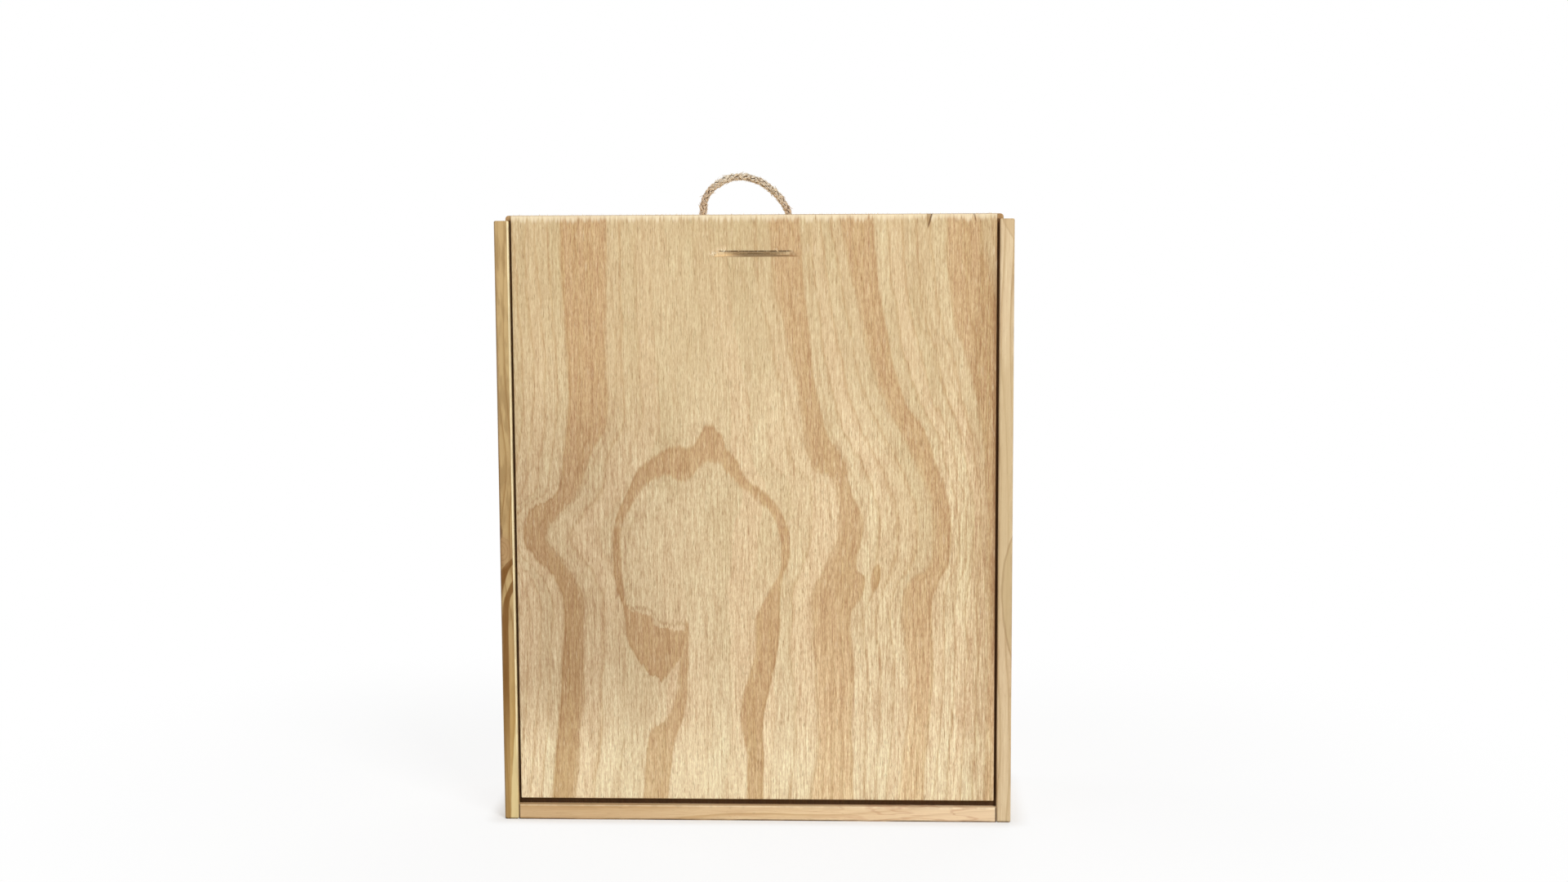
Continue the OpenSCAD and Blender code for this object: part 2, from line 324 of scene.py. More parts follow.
def traced(height, points):
    """A line up a board: how far across it lies at each height, both in millimetres."""
    bends = [(up / TRACED_HEIGHT, across / TRACED_WIDTH + 0.5) for up, across in points]
    return ((height / TRACED_HEIGHT).bent(bends) - 0.5) * TRACED_WIDTH


def traced_over(across, points):
    """A line across a board: how high it lies at each place, both in millimetres."""
    bends = [(place / TRACED_WIDTH + 0.5, up / TRACED_HEIGHT) for place, up in points]
    return (across / TRACED_WIDTH + 0.5).bent(bends) * TRACED_HEIGHT


SIDE_KNOT_Y = -41
SIDE_KNOT_Z = 166
SIDE_KNOT_SQUEEZE = 0.6 ** 0.5


def front_edge(finish, y):
    """1 on the narrow front of a side board."""
    return y.ease(-44, -50.5) * finish.facing()[1].ease(0.3, 0.7)


def left_side_marks(finish, colour, point, parts, fibre):
    """A knot at the front edge, the dark grain that bends round it and a brown streak, with a painted
    highlight on the inner wall beside the lid and painted shade on the outer front edge.
    """
    x, y, z = parts
    front = front_edge(finish, y)
    wobble = (point.noise((2.5, 6, 9), 31, 3) - 0.5) * 3
    low_arc = traced(z, [(0, -150.8), (60, -150.2), (100, -150), (124, -149.8), (132, -149.2),
                         (136, -148.3), (140, -146.5), (144, -144.8), (148, -142)])
    high_arc = traced(z, [(0, -156), (130, -155.5), (142, -153), (147.5, -151.3), (151, -150.2),
                          (153.5, -149), (155.5, -147.4), (157.5, -145.4), (160, -142.5)])
    low_line = abs(x + wobble * 0.2 - low_arc).ease(2.3, 1.3)
    high_line = abs(x + wobble * 0.2 - high_arc).ease(2.8, 1.7)
    fade = z.ease(20, 90)
    streak = most(low_line * (0.3 + fade * 0.65), high_line)
    darkening = point.noise((4, 8, 22), 37, 3)
    swirl = reach(x + 151, (z - 164 + wobble) * 0.55)
    rings = (swirl / 1.7 + wobble * 0.2).reckon("FRACT").bent(RING_PROFILE)
    knotted = finish.blend((170, 132, 90), (132, 92, 54), rings * 0.7)
    bark = reach(x + 152.8, (z - 175.5) * 0.45).ease(2.6, 1.2)
    pale_line = traced(z, [(0, -149.1), (18, -148.3), (34, -147.3), (61, -145), (80, -143)])
    pale_wedge = (x + wobble * 0.3 - pale_line).ease(-0.2, 0.6) * z.ease(90, 60)
    # Painted highlight: the inner wall beside the lid is painted pale, as if the lamp lit it.
    painted_lit_wall = x.ease(-145, -144.6) * y.ease(-48.2, -48.6) * z.ease(8, 70)
    # Painted shade: the rounded outer front edge is darkened where it turns away from the light.
    shaded_outer_arris = x.ease(-151, -152.2) * front
    around = reach(y - SIDE_KNOT_Y, (z - SIDE_KNOT_Z) * SIDE_KNOT_SQUEEZE) + wobble * 1.3
    side_rings = (around / 2.3 + fibre * 0.3).reckon("FRACT").bent(RING_PROFILE)
    beside = (1 - front) * x.ease(-146, -149)
    outside = x.ease(-151.8, -152.3) * (1 - front)
    side_knot = finish.blend((168, 122, 76), (124, 82, 46), side_rings * 0.7)
    ring_of_bark = abs(around - 7.4).ease(1.3, 0.3) * beside
    return finish.washed(
        colour,
        ((208, 178, 126), z.ease(220, 330) * front * 0.45),
        ((152, 120, 74), darkening.ease(0.44, 0.6) * front * 0.6),
        ((206, 168, 96), z.ease(130, 60) * front * 0.4),
        ((116, 74, 18), streak * front * (0.75 + fibre * 0.4)),
        (knotted, swirl.ease(7, 3.5) * front * 0.7),
        ((92, 58, 28), bark * front * 0.9),
        ((232, 212, 156), pale_wedge * front * 0.75),
        ((254, 240, 194), painted_lit_wall * 0.9),
        ((104, 76, 48), shaded_outer_arris * (0.6 + wobble * 0.2)),
        ((222, 190, 142), outside * 0.3),
        ((158, 116, 66), around.ease(15, 8) * beside * 0.45),
        (side_knot, around.ease(8, 6) * beside * 0.85),
        ((92, 60, 34), ring_of_bark * (0.5 + wobble * 0.2)))


def right_side_marks(finish, colour, point, parts, fibre):
    """A brownish arc down the front edge, with another line at the top."""
    x, y, z = parts
    front = front_edge(finish, y)
    wobble = (point.noise((2.5, 6, 9), 33, 3) - 0.5) * 1.2
    line = traced(z, [(0, 156), (88, 156), (96, 153.8), (103, 151.6), (113, 149.2), (125, 147.3),
                      (139, 146.5), (150, 147), (160, 148.5), (172, 152), (180, 156), (370, 156)])
    upper_line = traced(z, [(300, 158), (338, 155.6), (347, 152.4), (356, 147.2), (365, 143.6)])
    from_line = x + wobble - line
    from_upper = x + wobble - upper_line
    upper_seam = abs(from_upper).ease(0.8, 0.3) * z.ease(330, 340)
    upper_wedge = from_upper.ease(-0.4, 0.4) * z.ease(325, 340)
    middle_part = z.ease(300, 260) * z.ease(90, 150)
    seam = most(abs(from_line).ease(0.8, 0.3) * 0.6, upper_seam * 0.3)
    return finish.washed(
        colour,
        ((188, 162, 118), from_line.ease(-0.5, 0.5) * front * 0.6),
        ((196, 166, 122), upper_wedge * front * 0.5),
        ((196, 170, 126), middle_part * front * 0.55),
        ((150, 112, 68), seam * front * 0.7))


def bottom_marks(finish, colour, point, parts, fibre):
    """The left end is browner, faint reddish waves lie towards the right, and the rounded top front edge
    has a painted highlight.
    """
    x, y, z = parts
    # Painted highlight along the rounded top front edge.
    painted_rounding_highlight = z.ease(8.1, 8.8) * y.ease(-51, -51.8)
    joint = abs(x).ease(142.9, 143.5) * y.ease(-50.6, -51.4)
    wave = point.noise((40, 30, 5), 35, 2)
    red = abs(wave - 0.52).ease(0.035, 0.005) * x.ease(20, 80)
    return finish.washed(
        colour,
        ((186, 150, 102), x.ease(40, -150) * 0.5),
        ((248, 222, 186), x.ease(0, 130) * 0.55),
        ((255, 240, 204), painted_rounding_highlight * 0.85),
        ((70, 44, 20), joint * 0.85),
        ((192, 140, 104), red * 0.4))


# ---------------- plywood
def layered(finish, front_face, rear_face, point, deep, long, cross, facing_long, facing_cross, plies,
            ply_mm, seed):
    """Plywood cut through: plies that lie along and across by turns, with glue lines."""
    rear = plies * ply_mm
    layer = within(deep, 0.02, rear - 0.02) / ply_mm
    turned = (layer.reckon("FLOOR") * 0.5).reckon("FRACT") * 2
    lengthwise = 1 - turned
    end = lengthwise * facing_long.ease(0.5, 0.85) + turned * facing_cross.ease(0.5, 0.85)
    along_grain = finish.whole(cross, deep, long).noise((0.6, 0.6, 14), seed, 3, 0.6)
    cross_grain = finish.whole(long, deep, cross).noise((0.6, 0.5, 12), seed + 2, 3, 0.6)
    speckle = point.noise(0.45, seed + 4, 3, 0.6)
    streaks = cross_grain * turned + along_grain * lengthwise
    ends = finish.blend((190, 152, 104), (128, 92, 54), speckle)
    edge_on = most(facing_long, facing_cross).ease(0.4, 0.8)
    glue = abs(layer.reckon("FRACT") - 0.5).ease(0.44, 0.49)
    within_sheet = abs(deep - rear / 2).ease(rear / 2 - 0.1, rear / 2 - 0.2)
    colour = finish.washed(
        finish.shaded((196, 160, 112), 0.55 + streaks * 0.9),
        (front_face, deep.ease(ply_mm, ply_mm - 0.1)),
        (rear_face, deep.ease(rear - ply_mm, rear - ply_mm + 0.1)),
        (finish.shaded(ends, 0.8 + streaks * 0.3), end * 0.8),
        ((120, 84, 48), glue * within_sheet * edge_on * 0.55))
    return colour, end, speckle


def plain_figure(cross, height, combed, seed):
    """The growth figure of a quieter veneer: how dark it is, from 0 to 1."""
    place = cross.finish.whole(cross, 0, height + combed * 14)
    hill = place.noise((85, 1, 300), seed, 1)
    contour = hill * 10 + cross / 70
    return contour.reckon("FRACT").bent([(0, 0.1), (0.3, 0), (0.5, 0.25), (0.62, 0.85), (0.9, 0.95),
                                         (0.97, 0.5), (1, 0.1)])


# The lid's wide growth figure, as it lies on this sheet: each band is a left and a right edge,
# and each point is a height and how far across the edge lies there.
BAND_1 = (
    [(15, -123.2), (50, -119.6), (90, -116.5), (129, -114.4), (147, -119.5), (160, -131), (173, -138.1),
    (187, -134.5), (199, -118.6), (220, -113.4), (246, -110.1), (271, -109.6), (322, -112.7),
    (360, -113.5)],
    [(15, -109.8), (50, -106.7), (90, -103.7), (129, -103.1), (147, -107.7), (161, -117.8), (173, -124.4),
    (187, -116.4), (199, -105.9), (220, -97.8), (246, -87.2), (271, -87.8), (322, -87.1), (360, -86.6)])
ISLAND_LEFT = (
    [(84, -55.5), (95, -68.2), (108, -75.9), (129, -78.5), (134, -80.4), (145, -84), (160, -85),
    (172, -84.4), (185, -82.2), (193, -78.8)],
    [(84, -56.5), (95, -48.6), (102, -43.6), (112, -41), (115.3, -41.5), (117, -51.1), (118.4, -59.6),
    (126, -62.6), (127.5, -71.5), (130, -75.4), (134, -77), (139, -78), (145, -78.8), (156, -80),
    (168, -80.3), (174, -80.1), (182, -77.8), (191, -74)])
ISLAND_RIGHT = (
    [(16, -5.5), (37, -5.4), (50, -7.7), (66, -9.1), (90, -4), (107, 0.5), (121, 0.1), (129, 2.6),
    (142, 9.5), (157, 15.8), (173.5, 15), (187, 9.2), (196, 0.5)],
    [(16, 3.9), (37, 4.5), (50, 4.1), (69, 5.6), (90, 10.6), (116, 14.7), (129, 14.7), (143, 15.8),
    (152, 17.8), (163, 20.7), (173.5, 20.3), (189, 15), (202, 2.5)])
# The island's crown, under an outer and over an inner line: how far across, and how high.
CROWN_OUTER = [(-90, 150), (-85, 160), (-82.2, 185), (-78.8, 193), (-73.8, 204), (-68.9, 213),
    (-61.5, 219.5), (-53.5, 224), (-45, 227), (-38, 226), (-34.1, 230), (-30.6, 236), (-27.5, 240),
    (-22.9, 237), (-19.5, 233), (-16.2, 225), (-11.4, 221), (-7.6, 213), (-3.4, 206), (2.5, 202), (15, 189),
    (20.3, 173.5), (24, 150)]
CROWN_INNER = [(-84, 150), (-81.2, 168), (-78.3, 182), (-74, 191), (-69, 199), (-62.5, 205.5), (-56, 208.5),
    (-50, 209.5), (-43, 205.7), (-38, 208), (-32.4, 214.6), (-24.5, 218), (-19.7, 215.4), (-16.3, 210.6),
    (-11.5, 206), (0.5, 196), (9.2, 187), (15, 173.5), (17, 150)]
LOBE_LINE = [(-82, 142), (-79, 133.5), (-76, 131.5), (-70, 130.2), (-64.7, 130.2), (-61.6, 127),
    (-57.4, 122), (-51, 119.5), (-44.6, 120.6), (-41, 118), (-38, 108)]
STROKE = (
    [(15, -68.2), (32, -67), (50, -64.8), (56, -62.3), (61, -55.8), (68, -50.3), (90, -46.2), (102, -45),
    (120, -42.4)],
    [(15, -53.3), (32, -51.2), (50, -48), (68, -42.4), (90, -40.3), (102, -39.7), (120, -40), (126, -44)])
BAND_2 = (
    [(16, 33.8), (64, 37.9), (95, 35.6), (121, 34.2), (143, 35.7), (155, 43), (179, 50.8), (205, 48.4),
    (215, 35.9), (233, 30.7), (256, 26.9), (297, 18.4), (322, 13.3), (360, 9.7)],
    [(16, 58.4), (64, 57.4), (95, 58.5), (121, 56.1), (129, 57.4), (135, 61.7), (140, 64.2), (146, 65.2),
    (150, 64.4), (152.5, 60.2), (158, 60.2), (167, 62.4), (179, 63.9), (205, 56.2), (215, 53.8),
    (233, 43.2), (256, 37), (297, 32.3), (322, 29.6), (360, 27.3)])
BAND_3 = (
    [(17, 85.8), (38, 88.2), (77, 92), (103, 90.5), (130, 88.1), (145, 91.9), (156, 104.5), (169, 107.3),
    (195, 104.8), (215, 97.1), (233, 87.9), (256, 76.4), (296, 64.9), (335, 56.3), (360, 51.1)],
    [(17, 100), (38, 101.4), (77, 105.2), (103, 106.1), (130, 105), (145, 108.4), (156, 114.6), (169, 116),
    (195, 114.9), (215, 107.2), (233, 101.8), (256, 87.9), (296, 77.8), (335, 71.6), (360, 70.1)])
BAND_4 = (
    [(17, 137.1), (78, 138.7), (152, 139.2), (201, 137.9), (240, 134.4), (264, 129.5), (284, 124.6),
    (296, 119.3), (332, 114.4), (360, 112.9)],
    [(17, 150), (240, 150), (297, 146), (321, 139.6), (360, 131.8)])
# Each part of the figure: its two edges, and how soft it is at its left and its right.
FIGURE = {"first": (BAND_1, 0.7, 2), "second": (BAND_2, 1.8, 1), "third": (BAND_3, 1.6, 1),
          "fourth": (BAND_4, 1.4, 2.5), "stroke": (STROKE, 1, 0.8),
          "leg_left": (ISLAND_LEFT, 0.8, 0.9), "leg_right": (ISLAND_RIGHT, 1, 0.8)}
# Thin dark lines of the figure: a traced line, and the heights that it runs between.
FINE_LINES = [
    ([(178, -121.4), (197, -105.9), (220, -93.9), (246, -84.3), (284, -81.4), (322, -83.3)], 178, 330),
    ([(60, -103), (90, -103.2), (126, -100.6), (150, -106.7), (165, -120.6)], 60, 166),
    ([(60, -99), (90, -98.2), (126, -96.1), (150, -101.7), (165, -112.6)], 40, 172),
    ([(193, 138.8), (225, 132.4), (252, 121.8), (281, 111.3), (314, 100.9), (343, 98.7), (360, 104.9)],
     190, 362),
    ([(205, 134), (225, 127), (252, 115), (281, 104.5), (314, 94), (360, 93)], 200, 362),
    ([(180, 66), (205, 60), (233, 46.5), (256, 40.5), (297, 35.5), (360, 31)], 180, 362),
    ([(179, 45), (205, 43), (233, 27), (297, 14.5), (360, 6)], 170, 330),
    ([(16, 45.3), (64, 45.4), (94, 45.4), (116, 41.2), (137, 43.4), (154, 50.8)], 5, 160),
    ([(16, 51), (64, 51), (94, 52), (116, 49), (137, 51.4), (154, 56)], 5, 120),
    ([(133, -66), (145, -74.5), (157, -77), (170, -76.4), (184, -72), (196, -64)], 135, 197),
    ([(20, 96), (60, 98), (103, 99.5), (128, 97)], 10, 130),
]
# How many growth lines lie in each field, from the lid's left edge to its right.
FIELD_LINES = (5, 3, 11, 4, 4, 3, 5, 3)
WIDE_FIELD_LINES = 11


def between(across, left, right, soft_left, soft_right):
    """1 between two edges, with its own softness at each."""
    return (across - left).ease(-soft_left, soft_left) * (right - across).ease(-soft_right, soft_right)


def lid_figure(x, z, combed, frayed, lumpy):
    """How dark the lid's growth figure is: its bands, their rims, and the lines beside them."""
    height = z + combed * 7 + frayed * 7
    across = x + frayed * 1.6 + lumpy * 2.4
    left, right, inside = {}, {}, {}
    for name, (pair, soft_left, soft_right) in FIGURE.items():
        left[name], right[name] = [traced(height, line) for line in pair]
        inside[name] = between(across, left[name], right[name], soft_left, soft_right)
    first, second, third, fourth, stroke, *legs = inside.values()
    legs = most(*legs) * z.ease(184, 177)
    crown_top = traced_over(across, CROWN_OUTER)
    crown_under = traced_over(across, CROWN_INNER)
    crown = (crown_top - height).ease(-1.6, 1.6) * (height - crown_under).ease(-1.8, 1.8) * z.ease(176, 183)
    spot_x = (x - 71.8 - (z - 148.4) * 0.16 + combed * 2) * 1.25
    spot_z = (z - 148.4 + combed * 4) * 0.42
    spot = reach(spot_x, spot_z).ease(4.2, 2.9)
    figure = most(first, legs, crown, stroke * 0.9, second * 0.9, third * 0.9, fourth * 0.9, spot)

    rim = most(abs(across - left["first"]).ease(2.6, 0.2) * first,
               abs(across - right["second"]).ease(3, 0.2) * second,
               abs(across - right["third"]).ease(3.2, 0.2) * third,
               abs(across - left["leg_left"]).ease(2.4, 0.2) * legs,
               abs(across - right["leg_right"]).ease(2.4, 0.2) * legs,
               abs(height - crown_top).ease(5, 0.5) * crown * 0.6,
               spot_x.ease(-1.5, 3) * spot * 1.4)

    fine = []
    for points, low, high in FINE_LINES:
        line = abs(across - traced(height, points)).ease(1.5, 0.4)
        fine.append(line * z.ease(low - 6, low + 12) * z.ease(high + 6, high - 12))
    lobe = abs(height - traced_over(across, LOBE_LINE)).ease(1.5, 0.5)
    lines = most(*fine, lobe * 1.6 * between(across, -81, -39, 1, 1))

    # Paler growth lines fill the room between the bands and follow their edges.
    edges = [side[name] for name in ("first", "second", "third") for side in (left, right)]
    edges = [edges[0] - 34, *edges, left["fourth"], left["fourth"] + 30]
    order = lumpy * 0.35
    for low, high, count in zip(edges, edges[1:], FIELD_LINES):
        share = within((across - low) / (high - low), 0, 1)
        order = order + share * count
        if count == WIDE_FIELD_LINES:
            open_field = share.ease(0.08, 0.24) * share.ease(0.96, 0.8)
    growth = order.reckon("FRACT").bent([(0, 0.9), (0.06, 0.25), (0.25, 0), (0.72, 0.08), (0.92, 0.7),
                                         (1, 1)])
    island = (crown_under - z).ease(-4, 4) * z.ease(112, 130) * between(x, -86, 20, 6, 6)
    growth = growth * (1 - island * 0.75) * (1 - open_field * 0.7)
    return figure, rim, lines, growth, order


def lid_plywood():
    """The lid's rotary-cut face veneer with its wide growth figure, over five plies."""
    finish = Finish("lid_plywood_finish")
    point = finish.millimetres()
    x, y, z = finish.parts(point)
    facing = finish.facing()
    combed = point.noise((0.9, 5, 46), 2, 2, 0.6) - 0.5
    frayed = point.noise((2.6, 8, 30), 3, 3, 0.6) - 0.5
    lumpy = point.noise((11, 20, 30), 4, 2) - 0.5
    figure, rim, lines, growth, order = lid_figure(x, z, combed, frayed, lumpy)

    cloud = finish.whole(x, 0, z).noise((34, 1, 95), 12, 3)
    each_ring = finish.whole(order.reckon("FLOOR") + 0.5, z * 0.004, 0)
    pulse = each_ring.noise((1.3, 1, 1), 18, 1)
    streak = point.noise((1.5, 3, 70), 13, 2, 0.55)
    fibre = point.noise((0.75, 1.5, 15), 14, 2, 0.6)
    hairline = point.noise((0.5, 0.8, 2.6), 15, 2, 0.6)
    pits = point.noise((0.7, 1, 5), 16, 1).ease(0.6, 0.74)
    pale = point.noise((0.8, 1, 9), 17, 2).ease(0.58, 0.72)

    # The ground is paler towards the bottom: partly the wood's own tone, partly painted light from the
    # floor below.
    ground = finish.washed(
        (209, 184, 142),
        ((223, 199, 158), cloud.ease(0.34, 0.64)),
        ((238, 216, 180), z.ease(170, 10) * 0.4),
        ((228, 198, 158), pulse.ease(0.45, 0.65) * 0.5),
        ((200, 174, 130), (z - x * 0.25).ease(180, 400) * 0.6),
        ((184, 144, 96), growth * 0.5))
    tan = finish.washed(
        (206, 172, 129),
        ((194, 158, 113), streak.ease(0.35, 0.65)),
        ((178, 142, 94), z.ease(210, 110) * x.ease(-60, -100) * 0.25),
        ((232, 200, 156), z.ease(160, 60) * x.ease(0, 40) * 0.6),
        ((172, 132, 84), most(rim * 0.5, growth * 0.4)))
    # Painted shade: the lid darkens towards its right edge, in the shadow of the right side board, and most
    # on its rounded edge.
    shaded_right_edge = x.ease(121, 137) * (0.35 + 0.65 * streak.ease(0.4, 0.6))
    shaded_right_rounding = x.ease(139, 141.8) * abs(z - 215).ease(150, 90)
    face = finish.washed(
        ground,
        (tan, figure),
        ((176, 136, 90), lines * (0.25 + combed * 0.4 + frayed * 0.4)),
        ((172, 136, 92), shaded_right_edge * 0.65),
        ((128, 84, 52), shaded_right_rounding * 0.5))
    # Over its left middle the lid is made a little darker.
    darker_left_middle = x.ease(20, -110) * z.ease(290, 190) * z.ease(30, 100)
    face = finish.blend(face, (229, 225, 223), darker_left_middle, "MULTIPLY")
    coarse = 1 + 0.5 * (x - z * 0.3).ease(-40, 120)
    calm = 1 - z.ease(200, 290) * (1 - figure) * 0.3
    uneven = (streak - 0.5) * 0.35 * coarse + (fibre - 0.5) * 0.8 * coarse + (hairline - 0.5) * 0.85
    # Fibre and streaks vary the face. Its lowest part is lighter, partly the wood's tone and partly painted
    # light from the floor.
    face = finish.shaded(face, 1 + uneven * calm + z.ease(66, 36) * 0.1)
    bruised_top = (z + (streak - 0.5) * 9).ease(LID_TOP - 4.5, LID_TOP - 0.5)
    face = finish.washed(
        face,
        ((150, 114, 70), pits * 0.35),
        ((244, 226, 190), pale * 0.3),
        ((246, 230, 196), bruised_top * 0.7))

    deep = y - FRONT
    rear_ring = plain_figure(x, z, combed, 19)
    rear_face = finish.blend((218, 190, 146), (196, 158, 110), rear_ring * (0.5 + streak * 0.5))
    rear_face = finish.shaded(rear_face, 1 + (streak - 0.5) * 0.4 + (fibre - 0.5) * 0.8)
    colour, end, speckle = layered(finish, face, rear_face, point, deep, z, x, facing[2], facing[0],
                                   LID_PLIES, LID_PLY, 20)

    # The shoulder that the side boards hide gets painted shade, darkest in its corner.
    thick = LID_PLIES * LID_PLY
    rebate = (deep.ease(LID_SHOULDER - 0.4, LID_SHOULDER) * deep.ease(thick - 0.1, thick - 0.4)
              * facing[1].ease(0.5, 0.9))
    rebate_shade_tint = finish.blend((68, 38, 8), (94, 60, 30), z.ease(12, 24))
    above_foot = z.ease(12.4, 13.4)
    corner = (abs(x).ease(INNER_WALL + 0.4, INNER_WALL - 0.3) * above_foot
              + z.ease(7.8, 8.8) * (1 - above_foot))
    in_groove = 1 - z.ease(HEIGHT - 0.4, HEIGHT + 0.6) * 0.7
    darkening = rebate * (0.25 + corner * 0.65) * in_groove

    # The finger notch with painted light and shade, a torn place at its left end, and two cracks at the
    # lid's top.
    on_face = deep.ease(LID_SHOULDER - 0.4, LID_SHOULDER - 0.8)
    torn = reach((x + 20.5) * 0.35, z - NOTCH_HEIGHT - 1 - (x + 24) * 0.35)
    smear = torn.ease(2.6, 1) * fibre.ease(0.4, 0.6) * on_face
    # In the notch the floor is painted pale as if lit, its upper lip dark as shadow and its lower lip
    # darker as shade.
    notch = (x.ease(-32, -28) * x.ease(23, 20) * abs(z - NOTCH_HEIGHT).ease(4.5, 3) * deep.ease(0.1, 0.4)
             * on_face)
    notch_upper_shadow = z.ease(NOTCH_HEIGHT + 1.2, NOTCH_HEIGHT + 1.8)
    notch_lower_shade = z.ease(NOTCH_HEIGHT - 0.4, NOTCH_HEIGHT - 0.9) * x.ease(-16, -4)
    split = x - 102.4 - (z - 356) * 0.28
    torn_out = split.ease(0.2, -0.2) * (split + (z - 354.5) * 0.36).ease(-0.3, 0.3)
    nick = abs(x - 129.6 + (z - 360) * 0.3).ease(0.45, 0.2) * z.ease(357.5, 360.5)
    crack = most(abs(split).ease(0.6, 0.2) * z.ease(353.5, 357.5), nick * 0.7)
    colour = finish.washed(
        colour,
        (finish.shaded(rebate_shade_tint, 0.6 + streak * 0.8), darkening),
        ((232, 208, 168), smear * 0.7),
        (finish.shaded((240, 212, 166), 0.6 + fibre * 0.8), notch * (1 - notch_upper_shadow) * 0.8),
        ((60, 36, 16), notch * notch_upper_shadow * 0.9),
        ((112, 80, 42), notch * notch_lower_shade * 0.7),
        ((150, 112, 66), torn_out * z.ease(353.5, 356) * 0.6),
        ((96, 64, 34), crack * 0.75))
    roughness = 0.68 + fibre * 0.12 + end * 0.12
    relief = fibre * 0.5 + hairline * 0.3 + streak * 0.3 - pits * 0.35 + (speckle - 0.5) * end * 0.8 - crack
    return finish.close(colour, roughness, relief, 0.3, 1, 0.25)


# The back panel's pins: up each side, and along the top and the bottom.
PIN_COLUMN, PIN_STEP_UP, PIN_LOWEST = 148.25, 75.5, 29
PIN_ROW, PIN_STEP_ACROSS = 175.5, 72


def nearest_mark(place, step):
    """How far a place lies from the nearest of many marks, one step apart."""
    return ((place / step + 0.5).reckon("FRACT") - 0.5) * step


def sheet_plywood(node, cross_of, deep_of, seed, tints, pin_marks=False):
    """Thin plywood of three plies with a quieter face figure, for the back and the dividers."""
    finish = Finish(node + "_plywood")
    point = finish.millimetres()
    parts = finish.parts(point)
    facing = finish.facing()
    x, y, z = parts
    cross = parts[cross_of]
    deep = deep_of(x, y)
    grain = finish.whole(cross, deep, z)
    combed = grain.noise((0.8, 5, 60), seed, 2, 0.6) - 0.5
    ring = plain_figure(cross, z, combed, seed + 1)
    streak = grain.noise((1.5, 3, 60), seed + 2, 3, 0.55)
    fibre = grain.noise((0.8, 1.2, 12), seed + 3, 3, 0.65)
    pits = grain.noise((0.5, 1, 3.4), seed + 4, 1).ease(0.68, 0.76)
    cloud = finish.whole(cross, 0, z).noise((60, 1, 140), seed + 5, 2)
    face = finish.blend(tints[0], tints[1], ring * (0.55 + streak * 0.5))
    face = finish.shaded(face, 1 + (streak - 0.5) * 0.4 + (fibre - 0.5) * 0.7 + (cloud - 0.5) * 0.3)
    face = finish.blend(face, (140, 104, 64), pits * 0.35)
    colour, end, speckle = layered(finish, face, face, point, deep, z, cross, facing[2], facing[cross_of],
                                   SHEET_PLIES, SHEET_PLY, seed + 6)
    relief = fibre * 0.5 + streak * 0.3 + ring * 0.12 - pits * 0.5 + (speckle - 0.5) * end * 0.8
    roughness = 0.7 + fibre * 0.12 + end * 0.1
    if pin_marks:
        column = reach(abs(x) - PIN_COLUMN, nearest_mark(z - PIN_LOWEST, PIN_STEP_UP))
        row = reach(nearest_mark(x, PIN_STEP_ACROSS), abs(z - HEIGHT / 2) - PIN_ROW)
        near = column.reckon("MINIMUM", row + abs(x).ease(100, 110) * 50)
        bruise = near.ease(2.6, 1.3) * y.ease(BACK - 2, BACK - 0.5)
        colour = finish.blend(colour, (120, 86, 50), bruise * 0.6)
        relief = relief - bruise * 0.8
    return finish.close(colour, roughness, relief, 0.2, 0.6, 0.25)


# ---------------- rope and nails
# How far a point of the rope stands out is kept under this name.
PROUD = "proud"
# A yarn makes one turn in this length.
YARN_TWIST = 2.6


def cotton_rope(name, length_mm):
    """Bare plant fibre: each yarn is twisted, and the furrows between strands get painted shade."""
    finish = Finish(name)
    proud = finish.add("ShaderNodeAttribute", {"attribute_name": PROUD}, output="Fac")
    uv = finish.add("ShaderNodeTexCoord", output="UV")
    around, along, _ = finish.parts(uv)
    point = finish.millimetres()
    x, _, _ = finish.parts(point)
    wander = point.noise(1.5, 41, 2) - 0.5
    twist = along * (length_mm / YARN_TWIST) + around + wander * 0.6
    fine = (twist * (math.tau * 3)).reckon("SINE") * 0.5 + 0.5
    lone = point.noise(0.35, 42, 3, 0.65)
    cloud = point.noise(5, 43, 2)
    grit = point.noise(0.6, 44, 1).ease(0.66, 0.74)
    tuft = point.noise(1.2, 45, 2, 0.6).ease(0.4, 0.6)
    lit = fine * 0.25 + lone.ease(0.35, 0.65) * 0.35 + tuft * 0.4
    colour = finish.blend((224, 192, 142), (255, 251, 240), lit)
    # Painted shade: the deeper points of the rope are darkened, as the furrows between strands are shaded.
    painted_furrow_shade = proud.ease(0.68, 0.36)
    colour = finish.blend(colour, (116, 82, 46), painted_furrow_shade * 0.8)
    # Painted shade: the legs, which face away from the light, are made darker than the top of the loop.
    shaded_legs = abs(x - (ROPE_LEFT + ROPE_RIGHT) / 2).ease(19, 26)
    colour = finish.shaded(colour, 1 + (cloud - 0.5) * 0.3 - shaded_legs * 0.16)
    colour = finish.blend(colour, (128, 98, 60), grit * 0.5)
    relief = fine * 0.6 + lone * 0.5
    material = finish.close(colour, 0.82 + lone * 0.1, relief, 0.12, 0.7, 0.2)
    finish.shader.inputs["Sheen Weight"].default_value = 0.15
    return material


